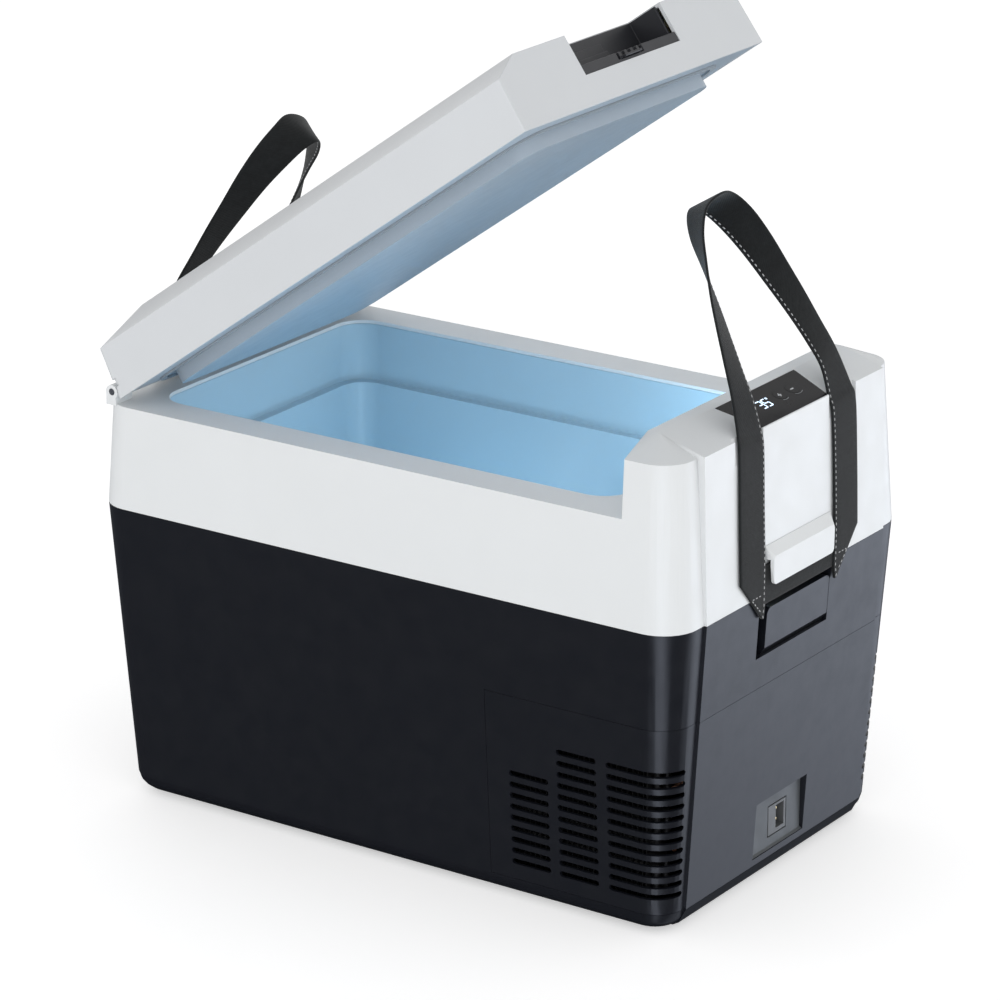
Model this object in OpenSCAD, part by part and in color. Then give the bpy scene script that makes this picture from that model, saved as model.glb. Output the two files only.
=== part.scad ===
// Portable compressor cooler with a hinged lid, a raised control end and two carry straps.
// Millimetres. Origin: middle of the footprint on the floor. +X is the control end,
// -Y is the long front side, +Z is up. The lid is drawn partly open.

/* [Body] */
// Length of the body at the colour seam
body_l = 572; // [560:1:584]
// Width of the body at the colour seam
body_w = 357; // [350:1:366]
// Radius of the four upright corners
corner_r = 31; // [26:1:36]
// Height of the seam between dark tub and light frame
seam_z = 262; // [258:1:266]
// Height of the rim under the lid
rim_z = 350; // [348:1:352]
// Height of the control end, level with the closed lid
top_z = 411.4; // [409:0.2:413]
// Wall thickness of the outer mouldings
wall = 3; // [2.5:0.5:3.5]
// Inward lean of the upper walls per 100 mm of height
upper_draft = 6; // [5:0.5:7]
// Inward lean of the lower walls per 100 mm of height
lower_draft = 6.3; // [5.5:0.1:7]
// Radius of the bottom edge
bottom_r = 17; // [14:1:20]

/* [Cold box] */
// Low X edge of the opening
open_x0 = -247; // [-250:1:-244]
// High X edge of the opening
open_x1 = 204; // [200:1:208]
// Half the width of the opening
open_y = 140; // [136:1:142]
// Corner radius of the opening
open_r = 26; // [20:1:30]
// Height of the shelf moulded round the cold box
shelf_z = 296; // [290:1:302]
// Floor of the deep end
floor_z = 46; // [42:1:50]
// Floor of the shallow end, over the machinery
step_z = 214; // [210:1:218]

/* [Lid] */
// Angle that the lid stands open at rest
lid_open = 35.5; // [20:0.5:50]
// Hinge axis, X
hinge_x = -268.5; // [-270:0.5:-267]
// Hinge axis, Z
hinge_z = 360.4; // [359:0.2:361]
// Hinge pin radius
pin_r = 3; // [2.5:0.5:3.5]

/* [Machine end] */
// X of the upright seam where the machine cover starts
cover_x = 104.5; // [100:0.5:108]
// Top edge of the machine cover
cover_z = 181; // [176:1:186]
// Distance between vent slots
vent_pitch = 9.75; // [9.5:0.05:10]
// Height of one vent slot
vent_h = 4.9; // [4.5:0.1:5.3]
// Speed-controlled fan, outer radius of the blades
fan_r = 40; // [36:1:42]

/* [Straps] */
// Width of the webbing
strap_w = 38; // [34:1:40]
// Thickness of the webbing
strap_t = 2.2; // [1.8:0.2:2.6]
// Height of the line the strap bends about
strap_z = 276; // [274:1:278]

/* [Hidden] */
$fn = 48;
eps = 0.01;
gap = 0.3;
half_l = body_l / 2;
half_w = body_w / 2;
base_z = 2;
arc_n = 8;
band_y = 136.8;
band_out = 2.6;
band_top_x = half_l - 1.8;
eave_z = 397.5;
hump_x = 232.3;
ridge_x = 244;
ridge_y = 137;
roof_drop = 12.4;
roof_run = 41.5;
roof_a = atan(roof_drop / roof_run);
liner_t = 2.5;
shelf_in = 8;
deep_x1 = 82;
lid_x0 = -266;
lid_x1 = 231;
lid_z0 = 351.6;
lid_wall_z = 396;
lid_top_z = 411.2;
lid_half_w = 173.4;
lid_top_half_w = 140;
lid_bevel_x = -223;
lid_wall = 3;
notch_y = 68.5;
notch_z = 376;
notch_depth = 36;
lip_h = 8.6;
strap_x = half_l + band_out + gap;
strap_mid = strap_x + strap_t / 2;
strap_y1 = 91;
leg_y0 = strap_y1 - strap_w;
// Edges of half a carry loop, from the bend line up to the middle: far edge, then near edge
loop_far = [[strap_mid - 0.1, 91, strap_z + 2.4], [288.1, 91, 335], [285.9, 90, 386], [282.3, 86.5, 401],
    [272, 79.6, 430], [260.2, 72.4, 455], [249.4, 65.7, 478], [239, 58.2, 500], [228.6, 48.5, 524],
    [218.8, 37.3, 545], [212.6, 21, 560.5], [213.8, 0, 567]];
loop_near = [[strap_mid - 0.1, leg_y0, strap_z + 2.4], [288.1, leg_y0, 335], [285.9, 52, 383],
    [283, 51, 396], [275.6, 51.2, 420], [265, 48.6, 438], [250, 42.9, 461], [232.4, 35.5, 486],
    [213.6, 28.5, 511], [197.6, 21.5, 530], [187.4, 11.5, 543], [183, 0, 548]];
loop_steps = 3;
recess_y = 57;
recess_z0 = 208;
recess_z1 = seam_z - 0.5;
recess_d = 9;
tongue_y0 = -44;
tongue_y1 = 53;
tongue_z1 = 248;
inlet_y0 = -36.5;
inlet_y1 = 42.5;
inlet_z0 = 25;
inlet_z1 = 74;
// Floor of the power recess, from the middle of the body
inlet_x = 271;
tray_t = 2;
socket_y0 = -9;
socket_y1 = 20;
socket_z0 = 34;
socket_z1 = 61.7;
pin_spots = [[5.6, 46.1], [5.6, 55.5]];
vent_cols = [[144.4, 9], [190.3, 12], [237.1, 12]];
vent_w = 37.5;
vent_z0 = 35;
corner_rows = 12;
comp_x0 = 108;
comp_top = 178;
foot_x = 215;
foot_y = 120;
comp_pos = [172, 62];
screw_spots = [[112, -138], [112, 138], [246, -75], [246, 75]];
drier_x = 247;
drier_y = 30;
suction_y = 40;
capillary_y = 60;
line_z = 150;
cond_x0 = 118;
cond_x1 = 246;

// ---------- outlines and helpers ----------

function unit(v) = v / norm(v);

function arc_pts(cx, cy, r, a0) =
    [for (i = [0:arc_n]) [cx + r * cos(a0 + 90 * i / arc_n), cy + r * sin(a0 + 90 * i / arc_n)]];

// Rounded rectangle with its own radius at the low and the high X end
function outline(x0, x1, y, r0, r1) = concat(
    arc_pts(x1 - r1, y - r1, r1, 0), arc_pts(x0 + r0, y - r0, r0, 90),
    arc_pts(x0 + r0, -y + r0, r0, 180), arc_pts(x1 - r1, -y + r1, r1, 270));

function rounding(h, r) = h >= r ? 0 : r - sqrt(r * r - (r - h) * (r - h));

function wall_inset(z) = z >= seam_z
    ? upper_draft * (z - seam_z) / 100
    : lower_draft * (seam_z - z) / 100;

// Height of the sloping roof of the control end
function roof_z(x) = top_z - (x - ridge_x) * roof_drop / roof_run;

function band_x(z) = z >= seam_z
    ? half_l + band_out - (half_l + band_out - band_top_x) * (z - seam_z) / (eave_z - seam_z)
    : half_l + band_out - wall_inset(z);

module slab(z, x0, x1, y, r0, r1, t = eps) {
    translate([0, 0, z]) linear_extrude(t) polygon(outline(x0, x1, y, r0, r1));
}

module body_slab(z, inset) {
    x = half_l - inset;
    r = max(corner_r - inset * 0.5, 6);
    slab(z, -x, x, half_w - inset, r, r);
}

module round_rect(x0, x1, y, r) {
    translate([x0 + r, -y]) square([x1 - x0 - 2 * r, 2 * y]);
    translate([x0, -y + r]) square([x1 - x0, 2 * y - 2 * r]);
    for (x = [x0 + r, x1 - r], s = [-1, 1]) translate([x, s * (y - r)]) circle(r);
}

module prism(z0, z1, x0, x1, y, r) {
    translate([0, 0, z0]) linear_extrude(z1 - z0) round_rect(x0, x1, y, r);
}

module block(x0, x1, y0, y1, z0, z1) {
    translate([x0, y0, z0]) cube([x1 - x0, y1 - y0, z1 - z0]);
}

// Bent tube from point to point along the axes, with a quarter bend at each inner point
module tube(points, r, bend) {
    last = len(points) - 1;
    for (i = [0:last - 1]) {
        d = points[i + 1] - points[i];
        u = unit(d);
        start = i == 0 ? 0 : bend;
        end = i == last - 1 ? 0 : bend;
        translate(points[i] + u * start) rotate([0, acos(u[2]), atan2(u[1], u[0])])
            cylinder(r = r, h = norm(d) - start - end, $fn = 24);
    }
    for (i = [1:last - 1]) {
        u = unit(points[i] - points[i - 1]);
        v = unit(points[i + 1] - points[i]);
        w = cross(-v, u);
        c = points[i] - u * bend + v * bend;
        multmatrix([[-v[0], u[0], w[0], c[0]], [-v[1], u[1], w[1], c[1]], [-v[2], u[2], w[2], c[2]]])
            rotate_extrude(angle = 90, $fn = 48) translate([bend, 0]) circle(r, $fn = 24);
    }
}

module rod_x(x0, x1, y, z, r) {
    translate([x0, y, z]) rotate([0, 90, 0]) cylinder(r = r, h = x1 - x0);
}

module rod_y(x, y0, y1, z, r) {
    translate([x, y1, z]) rotate([90, 0, 0]) cylinder(r = r, h = y1 - y0);
}

// Slot with round ends, cut along Y
module slot_y(x, y0, y1, z, w, h) {
    translate([x, y1, z]) rotate([90, 0, 0]) linear_extrude(y1 - y0) {
        square([w - h, h], center = true);
        for (s = [-1, 1]) translate([s * (w - h) / 2, 0]) circle(h / 2, $fn = 24);
    }
}

module both_y() {
    children();
    mirror([0, 1, 0]) children();
}

// ---------- outer shape ----------

module lower_solid(inset = 0, z0 = base_z) {
    hull() {
        for (h = [0, 1, 3, 6, 10, bottom_r]) {
            z = z0 + h;
            body_slab(z, wall_inset(z) + rounding(h, bottom_r) + inset);
        }
        body_slab(seam_z - eps, inset);
    }
}

module lower_band(side) {
    hull() {
        for (h = [1, 4, bottom_r]) {
            z = base_z + h;
            x = band_x(z) - rounding(h, bottom_r);
            block(min(0, side * x), max(0, side * x), -band_y, band_y, z, z + eps);
        }
        x = band_x(seam_z);
        block(min(0, side * x), max(0, side * x), -band_y, band_y, seam_z - eps, seam_z);
    }
}

module lower_outer() {
    lower_solid();
    intersection() {
        union() {
            lower_band(1);
            lower_band(-1);
        }
        block(-half_l - 20, half_l + 20, -band_y, band_y, base_z, seam_z);
    }
}

module upper_band(side, z1) {
    x0 = side * (half_l - 24);
    hull() for (z = [seam_z + gap, z1 - eps]) {
        x = side * band_x(z);
        block(min(x0, x), max(x0, x), -band_y, band_y, z, z + eps);
    }
}

module frame_outer() {
    hull() {
        body_slab(seam_z + gap, 0);
        body_slab(rim_z - eps, wall_inset(rim_z));
    }
    hull() {
        hump_slab(rim_z - 40, 0);
        hump_slab(eave_z, 0);
        slab(top_z - eps, hump_x, ridge_x, ridge_y, 0.5, 0.5);
    }
    hull() {
        upper_band(1, roof_z(band_top_x));
        block(hump_x + 1, ridge_x, -ridge_y, ridge_y, top_z - eps, top_z);
    }
    upper_band(-1, rim_z);
}

// Shallow relief in the eave behind each leg of the carry loop
module strap_relief() {
    both_y() translate([0, strap_y1 + 1.6, 0]) rotate([90, 0, 0]) linear_extrude(strap_w + 4.2)
        polygon([[284.4, 380], [283.4, 390], [280, 400.4], [275, 412], [300, 412], [300, 380]]);
}

module hump_slab(z, inset) {
    i = wall_inset(z) + inset;
    slab(z, hump_x + inset, half_l - i, half_w - i, 1, corner_r - i * 0.5);
}

// Coordinates that follow the sloping roof of the control end
module on_roof() {
    translate([ridge_x, 0, top_z]) rotate([0, roof_a, 0]) children();
}

// ---------- static mouldings ----------

module strap_recess(side) {
    x = side * (half_l + 6);
    block(min(x, x - side * (recess_d + 10)), max(x, x - side * (recess_d + 10)),
        -recess_y, tongue_y1 + eps, recess_z0, recess_z1 + 2);
}

module lower_tub() {
    color("#2c303a") difference() {
        lower_outer();
        difference() {
            lower_solid(wall, base_z + wall);
            for (s = [-1, 1])
                block(min(s * 262, s * 300), max(s * 262, s * 300), -recess_y - wall,
                    recess_y + wall, recess_z0 - wall, seam_z);
        }
        block(-half_l + 12, half_l - 12, -half_w + 12, half_w - 12, seam_z - 4, seam_z + 1);
        block(cover_x, half_l + 20, -half_w - 10, half_w + 10, base_z + bottom_r, cover_z);
        for (s = [-1, 1]) strap_recess(s);
        for (x = [-foot_x, foot_x], y = [-foot_y, foot_y])
            translate([x, y, 0]) cylinder(r = 16.2, h = base_z + 1.2);
        for (p = screw_spots) translate([p[0], p[1], 0]) {
            cylinder(r = 4.5, h = base_z + 1.6);
            cylinder(r = 2.5, h = 40);
        }
    }
    color("#2c303a") for (p = screw_spots) translate([p[0], p[1], base_z + wall - eps]) difference() {
        cylinder(r = 5.2, h = bottom_r - wall + gap + 0.6);
        translate([0, 0, -1]) cylinder(r = 2.5, h = 40);
    }
}

// Plate in the pocket under the strap, flush with the end face and bevelled at its foot
module strap_tongue_solid() {
    x0 = half_l + 6 - recess_d - 10 + eps;
    intersection() {
        translate([x0, 0, 0]) rotate([90, 0, 90]) linear_extrude(20)
            polygon(concat([[tongue_y0, recess_z0 + eps], [tongue_y1, recess_z0 + eps]],
                arc_pts(tongue_y1 - 6, tongue_z1 - 6, 6, 0), arc_pts(tongue_y0 + 6, tongue_z1 - 6, 6, 90)));
        hull() for (step = [[recess_z0 - 1, 4.7], [recess_z0 + 6, 0.2], [tongue_z1 + 1, 0.2]])
            block(x0, band_x(step[0]) - step[1], -band_y, band_y, step[0], step[0] + eps);
    }
}

module upper_frame() {
    color("#dfe2e4") difference() {
        union() {
            frame_outer();
            for (y = [-161, 0, 161]) hinge_knuckle(y, y == 0 ? 22 : 11);
        }
        // hollow under the rim and in the walls
        hull() {
            body_slab(seam_z - 1, wall);
            body_slab(rim_z - wall, wall_inset(rim_z) + wall);
        }
        hull() {
            hump_slab(rim_z - 45, wall);
            hump_slab(eave_z - 2, wall);
            slab(top_z - wall - 2, hump_x + wall, ridge_x - 1, ridge_y - 2, 0.5, 0.5);
        }
        prism(rim_z - 8, rim_z + 1, open_x0, open_x1, open_y, open_r);
        // seat and window of the control panel
        panel_cut(0.25, -1.9, 4);
        panel_cut(-6, -12, 4);
        // pocket for the striker
        block(hump_x - 1, hump_x + wall + 1, -30, 30, 372, 388);
        strap_relief();
        rod_y(hinge_x, -180, 180, hinge_z, pin_r);
    }
}

module hinge_knuckle(y, half) {
    rod_y(hinge_x, y - half, y + half, hinge_z, 6);
    block(hinge_x - 6, hinge_x + 4, y - half, y + half, rim_z - 1, hinge_z);
}

// Control panel outline, grown by g, from h0 to h1 over the roof surface
module panel_cut(g, h0, h1) {
    on_roof() translate([0, 0, h0]) linear_extrude(h1 - h0)
        polygon([[1.6 - g, -60 - g], [40.6 + g, -50 - g], [40.6 + g, 50 + g], [1.6 - g, 60 + g]]);
}

module liner_well(g, z_top) {
    prism(shelf_z + g, z_top, open_x0 - g, open_x1 + g, open_y + g, open_r + g);
    prism(step_z - g, shelf_z + g + eps, open_x0 + shelf_in - g, open_x1 - shelf_in + g,
        open_y - shelf_in + g, open_r - 4 + g);
    prism(floor_z - g, step_z - g + 1, open_x0 + shelf_in - g, deep_x1 + g,
        open_y - shelf_in + g, open_r - 4 + g);
}

module liner_skin(g) {
    prism(shelf_z - g, rim_z - wall - gap, open_x0 - g, open_x1 + g, open_y + g, open_r + g);
    prism(step_z - g, shelf_z, open_x0 + shelf_in - g, open_x1 - shelf_in + g,
        open_y - shelf_in + g, open_r - 4 + g);
    prism(floor_z - g, step_z, open_x0 + shelf_in - g, deep_x1 + g,
        open_y - shelf_in + g, open_r - 4 + g);
}

module inner_liner() {
    color("#dfe8ee") difference() {
        union() {
            liner_skin(liner_t);
            prism(rim_z - wall - gap - 3, rim_z - wall - gap, open_x0 - 14, open_x1 + 12,
                open_y + 14, open_r + 12);
        }
        liner_well(0, rim_z + 5);
        rod_x(open_x1 - 1, open_x1 + 8, 60, 326, 9.2);
        rod_y(30, open_y - shelf_in - 2, open_y + 6, 150, 5.2);
    }
}

module foam_insulation() {
    color("#e8d9a8") difference() {
        union() {
            intersection() {
                lower_solid(wall + gap, base_z + wall + gap);
                block(-half_l, half_l, -half_w, half_w, 0, seam_z - 4);
            }
            hull() {
                body_slab(seam_z - 4 - eps, wall + 5);
                body_slab(rim_z - wall - gap - 4, wall_inset(rim_z) + wall + 5);
            }
        }
        liner_skin(liner_t + gap);
        prism(rim_z - wall - gap - 4, rim_z, open_x0 - 15, open_x1 + 14, open_y + 15, open_r + 12);
        block(comp_x0 - 3, half_l, -half_w, half_w, -1, comp_top + 4);
        block(open_x1 + 12, half_l, -half_w, half_w, comp_top, rim_z);
        prism(58, step_z - 12, open_x0 + 2, deep_x1 + 6.3, open_y - 1, open_r);
        rod_x(open_x1 + 2, open_x1 + 13, 60, 326, 13);
        rod_y(30, open_y - 4, open_y + 14, 150, 8);
        rod_x(deep_x1 + 4, comp_x0, suction_y, line_z, 4.2);
        rod_x(deep_x1 + 4, comp_x0, capillary_y, line_z, 2.4);
        for (s = [-1, 1])
            block(min(s * 258, s * 300), max(s * 258, s * 300), -recess_y - wall - 1,
                recess_y + wall + 1, recess_z0 - wall - 1, seam_z + 20);
    }
}

// Roll-bonded evaporator sheet with raised channels, wrapped round the deep end
module evaporator_panel() {
    color("#b9bec2") difference() {
        union() {
            prism(62, step_z - 16, open_x0 + 4.2, deep_x1 + 4.2, open_y - 3.8, open_r - 2);
            for (z = [72:16:184])
                prism(z, z + 6, open_x0 + 2.8, deep_x1 + 5.6, open_y - 2.4, open_r - 1);
        }
        prism(50, step_z, open_x0 + 5.2, deep_x1 + 2.8, open_y - 5.2, open_r - 3);
        rod_y(30, open_y - 12, open_y + 6, 150, 6.5);
    }
}

module machine_bulkhead() {
    color("#8b9096") difference() {
        union() {
            block(comp_x0 - 2.6, comp_x0 - 1.4, -150, 150, 8, comp_top + 3.4);
            block(comp_x0 - 2.6, 268, -150, 150, comp_top + 2.2, comp_top + 3.4);
        }
        rod_x(comp_x0 - 5, comp_x0, suction_y, line_z, 4.2);
        rod_x(comp_x0 - 5, comp_x0, capillary_y, line_z, 2.4);
    }
}

// ---------- machine end ----------

module front_vents() {
    for (c = vent_cols, i = [0:c[1] - 1])
        slot_y(c[0], -half_w - 5, -half_w + 40, vent_z0 + i * vent_pitch, vent_w, vent_h);
    translate([half_l - corner_r - 7, -half_w + corner_r + 7, 0]) rotate([0, 0, 42])
        for (i = [0:corner_rows - 1])
            slot_y(0, -corner_r - 20, 0, vent_z0 + i * vent_pitch, vent_w - 3, vent_h);
}

// Lugs inside the foot of the cover, over the screw posts of the base
module cover_lugs() {
    z0 = base_z + bottom_r + gap + 1;
    for (s = [-1, 1]) {
        block(screw_spots[0][0] - 5, screw_spots[0][0] + 5, min(s * 131, s * 161), max(s * 131, s * 161),
            z0, z0 + 4);
        block(screw_spots[2][0] - 6, 270.5, s * screw_spots[2][1] - 6, s * screw_spots[2][1] + 6,
            z0, z0 + 4);
    }
}

module machine_cover() {
    z0 = base_z + bottom_r + gap;
    z1 = cover_z - gap;
    color("#2a2e38") difference() {
        union() {
            difference() {
                intersection() {
                    lower_outer();
                    block(cover_x + gap, half_l + 20, -half_w, half_w, z0, z1);
                }
                lower_solid(wall, base_z);
            }
            // deep frame round the power recess
            intersection() {
                lower_outer();
                block(inlet_x - tray_t - 3, half_l + 20, inlet_y0 - wall, inlet_y1 + wall,
                    inlet_z0 - wall, inlet_z1 + wall);
            }
        }
        both_y() front_vents();
        block(half_l - 30, half_l + 20, inlet_y0, inlet_y1, inlet_z0, inlet_z1);
    }
    color("#2a2e38") difference() {
        cover_lugs();
        for (p = screw_spots) translate([p[0], p[1], 0]) cylinder(r = 2.2, h = 40);
    }
}

// Screws that come up through the base into the lugs of the machine cover
module cover_screws() {
    color("#8d9297") for (p = screw_spots) translate([p[0], p[1], 0]) {
        difference() {
            translate([0, 0, base_z + 0.3]) cylinder(r = 4.2, h = 1.3);
            translate([0, 0, base_z - 1]) cylinder(r = 1.6, h = 2);
        }
        translate([0, 0, base_z + 1.5]) cylinder(r = 2.2, h = 21);
    }
}

module compressor() {
    color("#1d1f22") translate([comp_pos[0], comp_pos[1], 0]) {
        translate([0, 0, 33]) rotate_extrude() {
            square([46, 76]);
            intersection() {
                translate([0, 76]) circle(46);
                translate([0, 76]) square([46, 34]);
            }
            translate([0, -8]) square([40, 9]);
        }
        translate([-48, 0, 70]) cube([20, 34, 40], center = true);
        translate([24, 30, 70]) rotate([0, 90, 0]) cylinder(r = 4, h = 26);
    }
}

module compressor_plate() {
    color("#8d9297") translate([comp_pos[0], comp_pos[1], 0]) difference() {
        block(-60, 60, -60, 60, 21.5, 24.5);
        for (x = [-50, 50], y = [-50, 50]) translate([x, y, 0]) cylinder(r = 6, h = 40);
    }
}

module compressor_grommets() {
    color("#161616") translate([comp_pos[0], comp_pos[1], 0])
        for (x = [-50, 50], y = [-50, 50]) translate([x, y, 0]) difference() {
            union() {
                translate([0, 0, base_z + wall]) cylinder(r = 9, h = 16.3);
                translate([0, 0, 21]) cylinder(r = 5.8, h = 4);
                translate([0, 0, 24.7]) cylinder(r = 9, h = 3);
            }
            cylinder(r = 3.2, h = 40);
        }
}

module compressor_bolts() {
    color("#b8bcc0") translate([comp_pos[0], comp_pos[1], 0])
        for (x = [-50, 50], y = [-50, 50]) translate([x, y, 0]) {
            translate([0, 0, base_z + wall]) cylinder(r = 3, h = 24);
            translate([0, 0, 27.9]) cylinder(r = 6.2, h = 4, $fn = 6);
        }
}

// Fin and tube condenser block across the front of the machine space
module condenser() {
    color("#a9adb1") {
        for (x = [cond_x0, cond_x1 - 1.2]) block(x, x + 1.2, -152, -122, 20, 150);
        for (i = [0:23]) {
            x = cond_x0 + 5 + i * 5.1;
            block(x, x + 0.7, -150, -124, 22, 148);
        }
        for (z = [32:21:137], y = [-144, -130]) rod_x(cond_x0 - 4, cond_x1 + 4, y, z, 3.2);
        for (z = [32:42:116], y = [-144, -130]) for (x = [cond_x0 - 4, cond_x1 + 4]) {
            translate([x, y, z]) cylinder(r = 3.2, h = 21);
            for (dz = [0, 21]) translate([x, y, z + dz]) sphere(3.2);
        }
    }
}

module fan_shroud() {
    color("#17181a") difference() {
        block(138, 228, -119, -93, 30, 120);
        rod_y(183, -125, -87, 75, fan_r + 2.5);
        for (x = [143, 223], z = [35, 115]) rod_y(x, -125, -87, z, 2);
    }
    color("#17181a") {
        for (a = [45:90:315]) translate([183, 0, 75]) rotate([0, a, 0])
            block(12, fan_r + 3.5, -96, -93, -2, 2);
        rod_y(183, -96, -93, 75, 14);
    }
}

module fan_motor() {
    color("#34373b") {
        rod_y(183, -103, -96.2, 75, 11);
        rod_y(183, -118, -103, 75, 2);
    }
}

module fan_rotor() {
    color("#26282b") difference() {
        union() {
            rod_y(183, -117, -104, 75, 13);
            for (i = [0:6]) translate([183, -111, 75]) rotate([0, i * 360 / 7, 0])
                rotate([28, 0, 0]) translate([11, -0.9, -9]) cube([fan_r - 11.5, 1.8, 18]);
        }
        rod_y(183, -121, -100, 75, 2.05);
    }
}

module filter_drier() {
    color("#c08a52") {
        translate([drier_x, drier_y, 40]) cylinder(r = 10, h = 62);
        for (z = [31, 102]) translate([drier_x, drier_y, z]) cylinder(r = 3, h = 9);
    }
}

module suction_line() {
    color("#b8794a") tube([[comp_pos[0] - 14, comp_pos[1] - 44.6, 96], [comp_pos[0] - 14, 2, 96],
        [comp_pos[0] - 14, 2, line_z], [116, 2, line_z], [116, suction_y, line_z],
        [deep_x1 + 6.2, suction_y, line_z]], 3.5, 10);
}

module discharge_line() {
    color("#b8794a") {
        tube([[comp_pos[0] + 18, comp_pos[1] - 43.2, 66], [comp_pos[0] + 18, -68, 66],
            [257, -68, 66], [257, -130, 66]], 3, 12);
    }
}

module capillary_line() {
    color("#b8794a") {
        tube([[drier_x, drier_y, 111.5], [drier_x, drier_y, line_z],
            [drier_x, capillary_y, line_z], [deep_x1 + 6.2, capillary_y, line_z]], 1.6, 8);
    }
}

module electronics_module() {
    color("#202327") {
        block(206, 262, -84, -12, 130, 168);
        for (i = [0:8]) block(210 + i * 5.5, 212.4 + i * 5.5, -80, -16, 168, 175);
    }
}

module inlet_tray() {
    y0 = inlet_y0 + gap;
    y1 = inlet_y1 - gap;
    z0 = inlet_z0 + gap;
    color("#46494c") difference() {
        union() {
            block(inlet_x - tray_t, inlet_x, y0, y1, z0, inlet_z1 - gap);
            // sloping sill along the lower edge
            translate([0, y1, 0]) rotate([90, 0, 0]) linear_extrude(y1 - y0)
                polygon([[inlet_x - 1, z0], [band_x(inlet_z0) - 0.4, z0], [inlet_x, z0 + 1.5],
                    [inlet_x - 1, z0 + 1.5]]);
        }
        block(inlet_x - tray_t - 1, inlet_x + 1, socket_y0, socket_y1, socket_z0, socket_z1);
    }
}

module inlet_socket() {
    color("#2e3033") difference() {
        union() {
            block(inlet_x - 17, inlet_x, socket_y0 + 1, socket_y1 - 1, socket_z0 + 1, socket_z1 - 1);
            block(inlet_x - tray_t - 2.3, inlet_x - tray_t - gap, socket_y0 - 2, socket_y1 + 2,
                socket_z0 - 2, socket_z1 + 2);
        }
        block(inlet_x - 12, inlet_x + 1, 3.8, 16.1, 38.5, 58.5);
        for (p = pin_spots) rod_x(inlet_x - 16, inlet_x - 11, p[0], p[1], 1.1);
    }
}

module inlet_pins() {
    color("#c9a44c") for (p = pin_spots) rod_x(inlet_x - 16, inlet_x - 1.2, p[0], p[1], 1.1);
}

module inlet_cable() {
    color("#191919") tube([[inlet_x - 17.2, 5.5, 47], [228, 5.5, 47], [228, 5.5, 104],
        [228, -22, 104], [228, -22, 129.9]], 2.6, 9);
}

module rubber_feet() {
    color("#141414") for (x = [-foot_x, foot_x], y = [-foot_y, foot_y])
        translate([x, y, 0]) difference() {
            cylinder(r = 16, h = base_z + 1);
            translate([0, 0, -1]) cylinder(r = 2.4, h = 2.2);
        }
}

// ---------- control end ----------

module control_panel() {
    color("#0c0c0e") difference() {
        intersection() {
            panel_cut(0, -1.7, 0.25);
            on_roof() block(-5, 60, -59.4, 59.4, -3, 3);
        }
        for (p = button_spots()) on_roof() translate([p[0], p[1], -3]) cylinder(r = 6.2, h = 6);
        on_roof() block(14, 28, -26, -3, -3, -0.6);
        on_roof() translate([12, -44, -3]) cylinder(r = 1.6, h = 6);
    }
}

function button_spots() = [[22, -40], [19, 10], [19, 29]];

module roof_button(i) {
    color("#18191c") on_roof() translate([button_spots()[i][0], button_spots()[i][1], 0]) {
        translate([0, 0, -2.6]) cylinder(r = 6, h = 2.95);
        translate([0, 0, -5.4]) cylinder(r = 3, h = 3);
    }
}

module display_module() {
    color("#22262b") on_roof() block(13.2, 28.8, -26.8, -2.2, -5.4, -3.2);
    color("#cfe6ff") on_roof() block(14.4, 27.6, -25.6, -3.4, -3.2, -0.8);
}

module status_lamp() {
    color("#d8ecff") on_roof() translate([12, -44, -7.5]) cylinder(r = 1.45, h = 7.6);
}

module control_board() {
    color("#1d5a35") on_roof() block(6, 30, -48, 44, -9.2, -7.6);
}

module interior_light() {
    color("#f4fbff") {
        rod_x(open_x1 - 0.6, open_x1 + 5, 60, 326, 9);
        rod_x(open_x1 + 4, open_x1 + 9, 60, 326, 12);
    }
}

module temperature_sensor() {
    color("#e6e6e6") rod_y(30, open_y - shelf_in + 0.2, open_y + 8, 150, 5);
}

module lid_striker() {
    color("#23262b") difference() {
        block(hump_x + 0.4, hump_x + 14, -29.6, 29.6, 372.4, 387.6);
        block(hump_x - 1, hump_x + 11, -26, 26, 375, 385);
    }
}

module hinge_pin() {
    color("#c3c7ca") rod_y(hinge_x, -171.8, 171.8, hinge_z, pin_r);
}

// ---------- lid, drawn closed and then swung open ----------

module opened() {
    translate([hinge_x, 0, hinge_z]) rotate([0, -lid_open, 0])
        translate([-hinge_x, 0, -hinge_z]) children();
}

module lid_outer(g = 0) {
    hull() {
        slab(lid_z0, lid_x0 + g, lid_x1 - g, lid_half_w - g, 5, 1.5);
        slab(lid_wall_z - g * 0.4, lid_x0 + 6 + g, lid_x1 - g, lid_half_w - 1.8 - g, 5, 1.5);
        slab(lid_top_z - g - eps, lid_bevel_x + g * 0.6, lid_x1 - g, lid_top_half_w - g * 0.4, 2, 1);
    }
}

module lid_cover() {
    color("#dadde0") opened() difference() {
        union() {
            difference() {
                lid_outer();
                translate([0, 0, -eps]) lid_outer(lid_wall);
                block(hinge_x - 8, hinge_x + 12, -173, 173, 340, hinge_z + 8);
            }
            lid_knuckles();
        }
        block(lid_x1 - notch_depth, lid_x1 + 5, -notch_y, notch_y, notch_z, lid_top_z + 5);
        rod_y(hinge_x, -180, 180, hinge_z, pin_r + 0.05);
    }
}

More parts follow.
